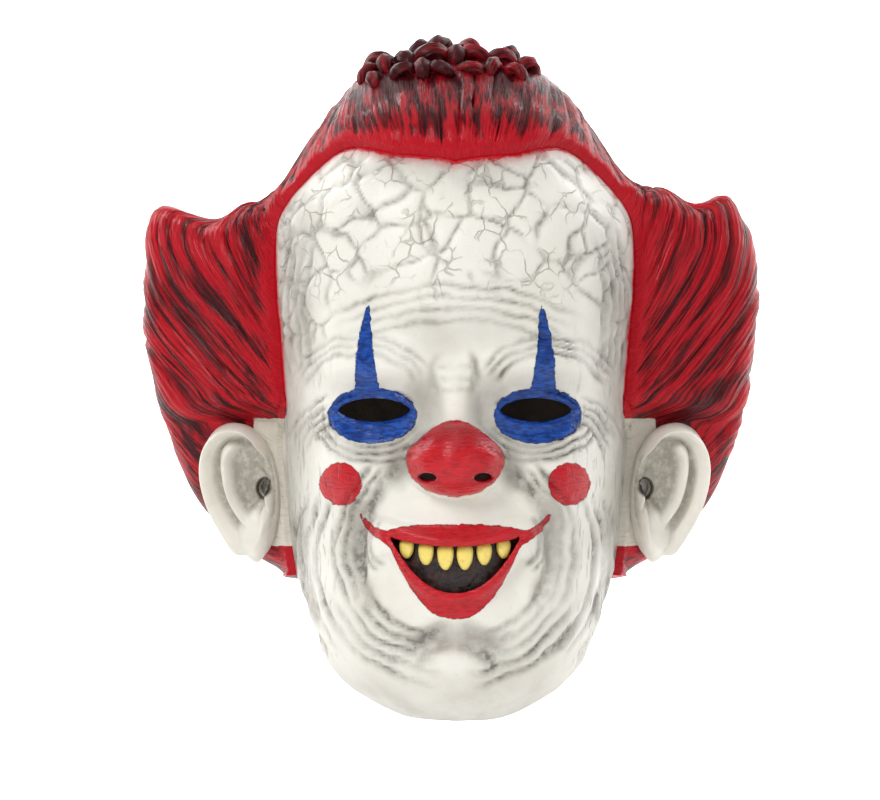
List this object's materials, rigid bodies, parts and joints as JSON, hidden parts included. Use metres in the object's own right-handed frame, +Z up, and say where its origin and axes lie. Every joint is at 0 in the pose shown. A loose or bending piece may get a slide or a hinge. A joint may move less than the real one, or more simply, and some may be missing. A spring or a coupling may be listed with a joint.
{
  "type": "clown mask",
  "caption": "Full-head latex clown mask with a bald forehead, flared moulded red hair, round nose, eye slits, ears with canals and a grinning mouth with teeth.",
  "frame": {"origin": "head seat: the inside of the hood at the crown, on the middle line", "axes": "+X to the viewer's right, the face looks along -Y, +Z up from the chin to the crown"},
  "size_m": [0.2758, 0.2422, 0.302],
  "materials": {
    "face_latex": "satin ivory paint on latex with a grey-brown wash in the creases",
    "hair_latex": "glossy red paint on latex with a dark wash in the grooves",
    "mouth_latex": "satin black paint on latex",
    "tooth_latex": "satin yellow paint on latex"
  },
  "bodies": {
    "root": {"face_skin": "face_latex", "hair_shell": "hair_latex", "ear_left": "face_latex", "ear_right": "face_latex", "mouth_lining": "mouth_latex", "tooth_1": "tooth_latex", "tooth_2": "tooth_latex", "tooth_3": "tooth_latex", "tooth_4": "tooth_latex", "tooth_5": "tooth_latex", "tooth_6": "tooth_latex"}
  },
  "joints": []
}
